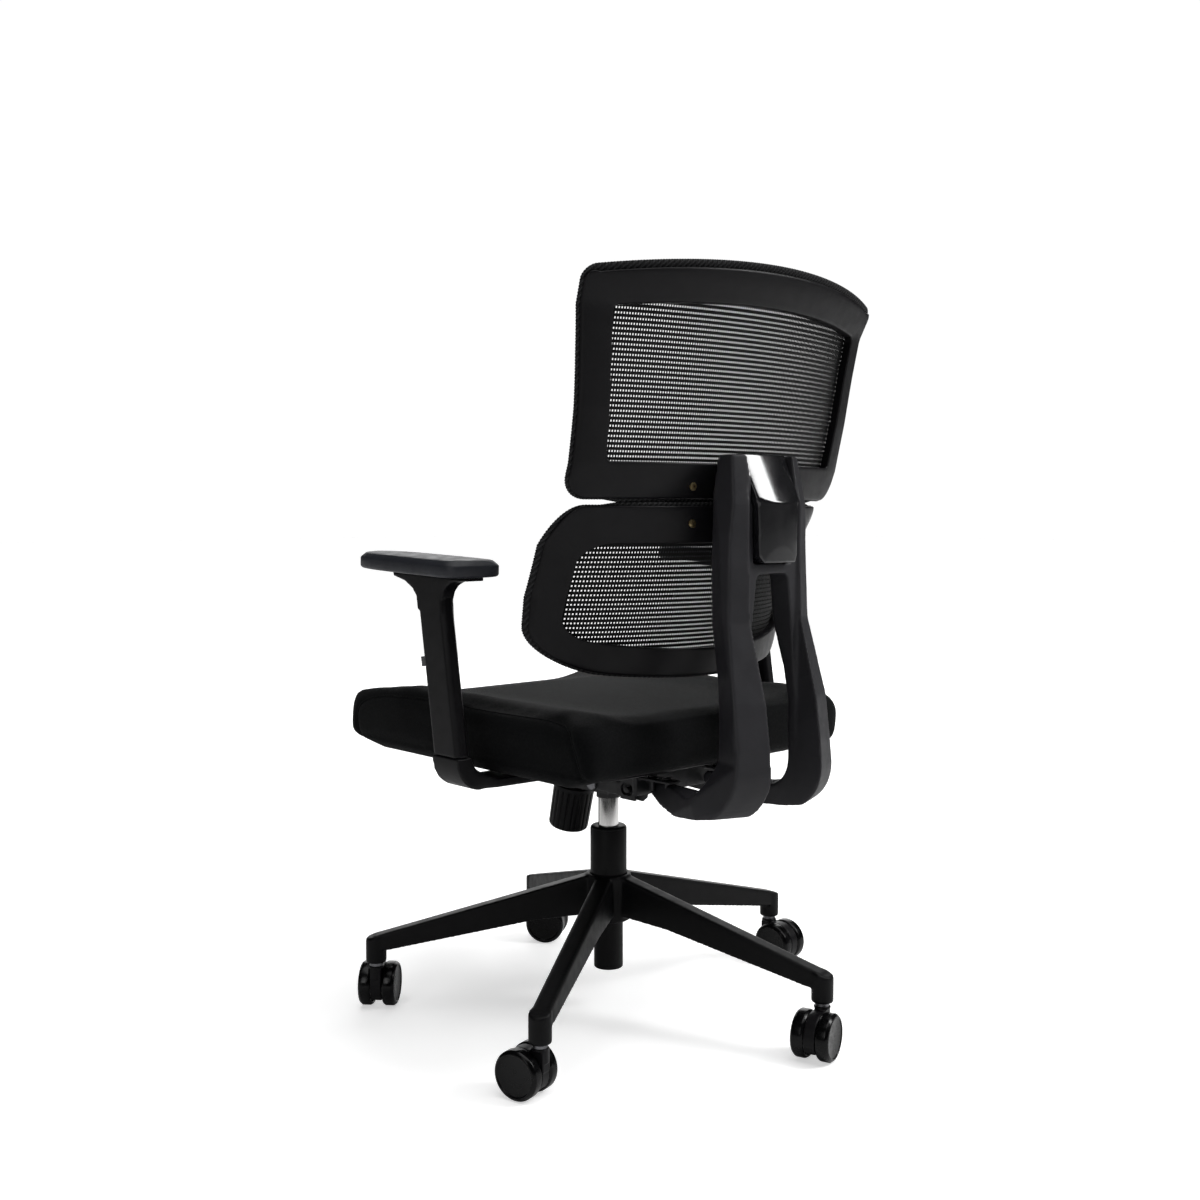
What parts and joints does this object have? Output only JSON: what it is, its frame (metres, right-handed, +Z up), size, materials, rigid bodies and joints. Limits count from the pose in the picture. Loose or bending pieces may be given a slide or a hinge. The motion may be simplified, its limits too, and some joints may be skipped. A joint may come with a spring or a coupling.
{
  "type": "swivel office chair",
  "caption": "Swivel office chair with a two-part mesh back on a U-shaped spine, padded seat, height-adjustable arms and a five-legged caster base.",
  "frame": {"origin": "on the floor, on the axis of the gas-lift column", "axes": "+Z up, the sitter faces -Y, +X is the sitter's left"},
  "size_m": [0.6618, 0.6645, 0.972],
  "materials": {
    "nylon": "fine-grained moulded nylon",
    "tube_paint": "satin powder coat",
    "chrome": "bright chrome",
    "steel": "zinc-plated steel",
    "black_steel": "black powder coat",
    "plywood": "raw plywood",
    "upholstery": "fine woven black cloth",
    "mesh_fabric": "open woven black mesh",
    "pad_pu": "soft moulded polyurethane",
    "gloss_black": "high gloss",
    "brass_screws": "yellow zinc plate",
    "wheel_nylon": "glossy moulded nylon",
    "valve_red": "moulded red plastic"
  },
  "bodies": {
    "base": {"star_base": "nylon", "column_tube": "tube_paint", "column_bush": "nylon", "thrust_bearing": "steel"},
    "column": {"piston_rod": "chrome", "column_clip": "steel"},
    "lift": {"gas_cylinder": "chrome", "mechanism_housing": "black_steel", "tilt_axle": "steel", "front_axle": "steel", "tension_spring": "steel", "tension_bolt": "steel"},
    "knob": {"tension_knob": "nylon"},
    "lever_pivot": {"lever_bush": "nylon"},
    "lever": {"lever_rod": "tube_paint", "lever_paddle": "nylon"},
    "valve": {"release_pin": "valve_red"},
    "seat": {"seat_plate": "black_steel", "seat_board": "plywood", "seat_cover": "nylon", "seat_cushion": "upholstery", "seat_screws": "black_steel", "left_arm_bracket": "nylon", "left_arm_post": "steel", "right_arm_bracket": "nylon", "right_arm_post": "steel"},
    "left_arm": {"left_arm_sleeve": "nylon", "left_arm_pad": "pad_pu"},
    "right_arm": {"right_arm_sleeve": "nylon", "right_arm_pad": "pad_pu"},
    "left_button": {"left_arm_button": "gloss_black"},
    "right_button": {"right_arm_button": "gloss_black"},
    "back": {"back_bracket": "black_steel", "spine": "nylon", "spine_cap": "gloss_black", "upper_frame": "nylon", "upper_mesh": "mesh_fabric", "lower_frame": "nylon", "lower_mesh": "mesh_fabric", "back_screws": "brass_screws"},
    "caster_1": {"caster_1_hood": "nylon", "caster_1_pins": "steel"},
    "caster_1_wheel_a_body": {"caster_1_wheel_a": "wheel_nylon"},
    "caster_1_wheel_b_body": {"caster_1_wheel_b": "wheel_nylon"},
    "caster_2": {"caster_2_hood": "nylon", "caster_2_pins": "steel"},
    "caster_2_wheel_a_body": {"caster_2_wheel_a": "wheel_nylon"},
    "caster_2_wheel_b_body": {"caster_2_wheel_b": "wheel_nylon"},
    "caster_3": {"caster_3_hood": "nylon", "caster_3_pins": "steel"},
    "caster_3_wheel_a_body": {"caster_3_wheel_a": "wheel_nylon"},
    "caster_3_wheel_b_body": {"caster_3_wheel_b": "wheel_nylon"},
    "caster_4": {"caster_4_hood": "nylon", "caster_4_pins": "steel"},
    "caster_4_wheel_a_body": {"caster_4_wheel_a": "wheel_nylon"},
    "caster_4_wheel_b_body": {"caster_4_wheel_b": "wheel_nylon"},
    "caster_5": {"caster_5_hood": "nylon", "caster_5_pins": "steel"},
    "caster_5_wheel_a_body": {"caster_5_wheel_a": "wheel_nylon"},
    "caster_5_wheel_b_body": {"caster_5_wheel_b": "wheel_nylon"}
  },
  "joints": [
    {"name": "column_swivel", "type": "hinge", "parent": "base", "child": "column", "pos_m": [0, 0, 0.2], "axis": [0, 0, 1], "continuous": true},
    {"name": "column_lift", "type": "slide", "parent": "column", "child": "lift", "axis": [0, 0, 1], "range_m": [-0.03, 0.07]},
    {"name": "tension_turn", "type": "hinge", "parent": "lift", "child": "knob", "pos_m": [0, -0.07, 0.3], "axis": [0, -0.225, -0.9744], "continuous": true},
    {"name": "lever_raise", "type": "hinge", "parent": "lift", "child": "lever_pivot", "pos_m": [-0.04, 0, 0.327], "axis": [0, 1, 0], "range_deg": [0, 4.5], "stiffness_Nm_per_rad": 6, "springref_deg": -6.88},
    {"name": "lever_lock", "type": "slide", "parent": "lever_pivot", "child": "lever", "axis": [-1, 0, 0], "range_m": [0, 0.012]},
    {"name": "valve_press", "type": "slide", "parent": "lift", "child": "valve", "axis": [0, 0, -1], "range_m": [0, 0.0035]},
    {"name": "seat_tilt", "type": "hinge", "parent": "lift", "child": "seat", "pos_m": [0, -0.095, 0.325], "axis": [-1, 0, 0], "range_deg": [0, 8]},
    {"name": "back_recline", "type": "hinge", "parent": "lift", "child": "back", "pos_m": [0, 0.03, 0.322], "axis": [-1, 0, 0], "range_deg": [0, 20], "stiffness_Nm_per_rad": 70, "springref_deg": -20.05},
    {"name": "left_arm_height", "type": "slide", "parent": "seat", "child": "left_arm", "axis": [0, -0.1599, 0.9871], "range_m": [0, 0.07]},
    {"name": "left_button_press", "type": "slide", "parent": "left_arm", "child": "left_button", "axis": [0, 0.9871, 0.1599], "range_m": [0, 0.004], "stiffness_N_per_m": 700, "springref_m": -0.002},
    {"name": "right_arm_height", "type": "slide", "parent": "seat", "child": "right_arm", "axis": [0, -0.1599, 0.9871], "range_m": [0, 0.07]},
    {"name": "right_button_press", "type": "slide", "parent": "right_arm", "child": "right_button", "axis": [0, 0.9871, 0.1599], "range_m": [0, 0.004], "stiffness_N_per_m": 700, "springref_m": -0.002},
    {"name": "caster_1_swivel", "type": "hinge", "parent": "base", "child": "caster_1", "pos_m": [0.26874, 0.17187, 0.08], "axis": [0, 0, 1], "continuous": true},
    {"name": "caster_1_roll_a", "type": "hinge", "parent": "caster_1", "child": "caster_1_wheel_a_body", "pos_m": [0.27392, 0.15255, 0.03], "axis": [0.9659, 0.2588, 0], "continuous": true},
    {"name": "caster_1_roll_b", "type": "hinge", "parent": "caster_1", "child": "caster_1_wheel_b_body", "pos_m": [0.27392, 0.15255, 0.03], "axis": [0.9659, 0.2588, 0], "continuous": true},
    {"name": "caster_2_swivel", "type": "hinge", "parent": "base", "child": "caster_2", "pos_m": [-0.08041, 0.3087, 0.08], "axis": [0, 0, 1], "continuous": true},
    {"name": "caster_2_roll_a", "type": "hinge", "parent": "caster_2", "child": "caster_2_wheel_a_body", "pos_m": [-0.06139, 0.31488, 0.03], "axis": [-0.309, 0.9511, 0], "continuous": true},
    {"name": "caster_2_roll_b", "type": "hinge", "parent": "caster_2", "child": "caster_2_wheel_b_body", "pos_m": [-0.06139, 0.31488, 0.03], "axis": [-0.309, 0.9511, 0], "continuous": true},
    {"name": "caster_3_swivel", "type": "hinge", "parent": "base", "child": "caster_3", "pos_m": [-0.31844, 0.01892, 0.08], "axis": [0, 0, 1], "continuous": true},
    {"name": "caster_3_roll_a", "type": "hinge", "parent": "caster_3", "child": "caster_3_wheel_a_body", "pos_m": [-0.31983, 0.03887, 0.03], "axis": [-0.9976, -0.0698, 0], "continuous": true},
    {"name": "caster_3_roll_b", "type": "hinge", "parent": "caster_3", "child": "caster_3_wheel_b_body", "pos_m": [-0.31983, 0.03887, 0.03], "axis": [-0.9976, -0.0698, 0], "continuous": true},
    {"name": "caster_4_swivel", "type": "hinge", "parent": "base", "child": "caster_4", "pos_m": [-0.1164, -0.29701, 0.08], "axis": [0, 0, 1], "continuous": true},
    {"name": "caster_4_roll_a", "type": "hinge", "parent": "caster_4", "child": "caster_4_wheel_a_body", "pos_m": [-0.12843, -0.28103, 0.03], "axis": [-0.7986, -0.6018, 0], "continuous": true},
    {"name": "caster_4_roll_b", "type": "hinge", "parent": "caster_4", "child": "caster_4_wheel_b_body", "pos_m": [-0.12843, -0.28103, 0.03], "axis": [-0.7986, -0.6018, 0], "continuous": true},
    {"name": "caster_5_swivel", "type": "hinge", "parent": "base", "child": "caster_5", "pos_m": [0.2465, -0.20248, 0.08], "axis": [0, 0, 1], "continuous": true},
    {"name": "caster_5_roll_a", "type": "hinge", "parent": "caster_5", "child": "caster_5_wheel_a_body", "pos_m": [0.23187, -0.21612, 0.03], "axis": [0.682, -0.7314, 0], "continuous": true},
    {"name": "caster_5_roll_b", "type": "hinge", "parent": "caster_5", "child": "caster_5_wheel_b_body", "pos_m": [0.23187, -0.21612, 0.03], "axis": [0.682, -0.7314, 0], "continuous": true}
  ],
  "couplings": [
    {"joint": "seat_tilt", "follows": "back_recline", "ratio": 0.4},
    {"joint": "valve_press", "follows": "lever_raise", "m_per_rad": 0.0435}
  ]
}
